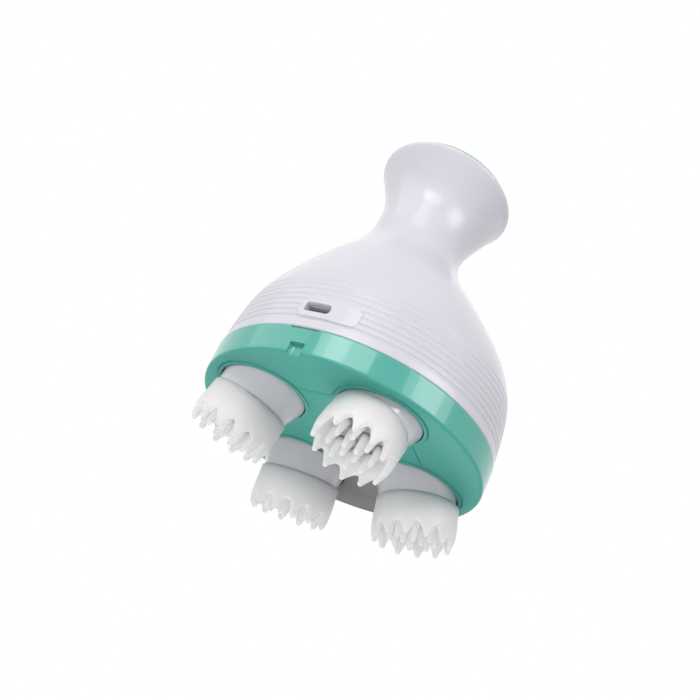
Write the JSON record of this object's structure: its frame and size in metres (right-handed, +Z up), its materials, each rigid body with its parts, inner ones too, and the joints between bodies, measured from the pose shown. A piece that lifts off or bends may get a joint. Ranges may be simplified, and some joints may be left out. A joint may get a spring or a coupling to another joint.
{
  "type": "rechargeable head massager",
  "caption": "Handheld rechargeable head massager with a flared handle, ribbed bell body, teal base ring and tilted claws that turn on an internal gear train.",
  "frame": {"origin": "centre of the base ring, on the floor plane that the lowest claw tips touch", "axes": "+Z up along the axis of the base ring, -Y towards the charging port, +X to the right seen from the port"},
  "size_m": [0.097, 0.097, 0.1235],
  "materials": {
    "shell_white": "satin",
    "ring_teal": "gloss",
    "plate_teal": "gloss",
    "cap_teal": "gloss",
    "button_white": "satin",
    "claw_silicone": "satin",
    "collar_white": "satin",
    "pad_grey": "matte",
    "seal_dark": "matte",
    "bush_brass": "machined",
    "battery_wrap": "shrink wrap",
    "holder_dark": "matte",
    "motor_steel": "rolled",
    "board_green": "solder mask",
    "switch_dark": "matte",
    "socket_steel": "tinned",
    "lead_dark": "matte",
    "gear_plastic": "moulded",
    "steel": "ground"
  },
  "bodies": {
    "housing": {"base_plate": "plate_teal", "base_ring": "ring_teal", "base_seal": "seal_dark", "battery": "battery_wrap", "battery_holder": "holder_dark", "battery_lead": "lead_dark", "board_screws": "steel", "body_shell": "shell_white", "drive_axle": "steel", "head_bushes": "bush_brass", "head_seals": "seal_dark", "main_board": "board_green", "motor": "motor_steel", "motor_lead": "lead_dark", "motor_plate": "holder_dark", "motor_screws": "steel", "plate_screws": "steel", "rear_pad": "pad_grey", "reduction_axle": "steel", "switch_board": "board_green", "switch_lead": "lead_dark", "switch_screws": "steel", "tact_switch": "switch_dark", "top_cap": "cap_teal", "usb_socket": "socket_steel"},
    "head_front_left": {"hub_front_left": "collar_white", "claw_front_left": "claw_silicone", "head_shaft_front_left": "steel", "hub_screw_front_left": "steel", "head_gear_front_left": "gear_plastic"},
    "head_front_right": {"hub_front_right": "collar_white", "claw_front_right": "claw_silicone", "head_shaft_front_right": "steel", "hub_screw_front_right": "steel", "head_gear_front_right": "gear_plastic"},
    "head_rear_left": {"hub_rear_left": "collar_white", "claw_rear_left": "claw_silicone", "head_shaft_rear_left": "steel", "hub_screw_rear_left": "steel", "head_gear_rear_left": "gear_plastic"},
    "head_rear_right": {"hub_rear_right": "collar_white", "claw_rear_right": "claw_silicone", "head_shaft_rear_right": "steel", "hub_screw_rear_right": "steel", "head_gear_rear_right": "gear_plastic"},
    "drive": {"drive_gear": "gear_plastic"},
    "reduction": {"reduction_gear": "gear_plastic"},
    "rotor": {"motor_shaft": "steel", "motor_pinion": "bush_brass"},
    "button": {"power_button": "button_white"}
  },
  "joints": [
    {"name": "drive_spin", "type": "hinge", "parent": "housing", "child": "drive", "pos_m": [0, 0, 0.03195], "axis": [0, 0, 1], "continuous": true},
    {"name": "front_left_spin", "type": "hinge", "parent": "housing", "child": "head_front_left", "pos_m": [-0.02093, -0.02093, 0.02195], "axis": [0, 0, 1], "continuous": true},
    {"name": "front_right_spin", "type": "hinge", "parent": "housing", "child": "head_front_right", "pos_m": [0.02093, -0.02093, 0.02195], "axis": [0, 0, 1], "continuous": true},
    {"name": "rear_left_spin", "type": "hinge", "parent": "housing", "child": "head_rear_left", "pos_m": [-0.02093, 0.02093, 0.02195], "axis": [0, 0, 1], "continuous": true},
    {"name": "rear_right_spin", "type": "hinge", "parent": "housing", "child": "head_rear_right", "pos_m": [0.02093, 0.02093, 0.02195], "axis": [0, 0, 1], "continuous": true},
    {"name": "reduction_spin", "type": "hinge", "parent": "housing", "child": "reduction", "pos_m": [0, 0.01575, 0.03995], "axis": [0, 0, 1], "continuous": true},
    {"name": "rotor_spin", "type": "hinge", "parent": "housing", "child": "rotor", "pos_m": [0, 0.00175, 0.04095], "axis": [0, 0, 1], "continuous": true},
    {"name": "button_press", "type": "slide", "parent": "housing", "child": "button", "axis": [0, -0.1668, -0.986], "range_m": [0, 0.0007], "stiffness_N_per_m": 800}
  ],
  "couplings": [
    {"joint": "front_left_spin", "follows": "drive_spin", "ratio": -1.1765},
    {"joint": "front_right_spin", "follows": "drive_spin", "ratio": -1.1765},
    {"joint": "rear_left_spin", "follows": "drive_spin", "ratio": -1.1765},
    {"joint": "rear_right_spin", "follows": "drive_spin", "ratio": -1.1765},
    {"joint": "reduction_spin", "follows": "drive_spin", "ratio": -3.5},
    {"joint": "rotor_spin", "follows": "drive_spin", "ratio": 14}
  ]
}
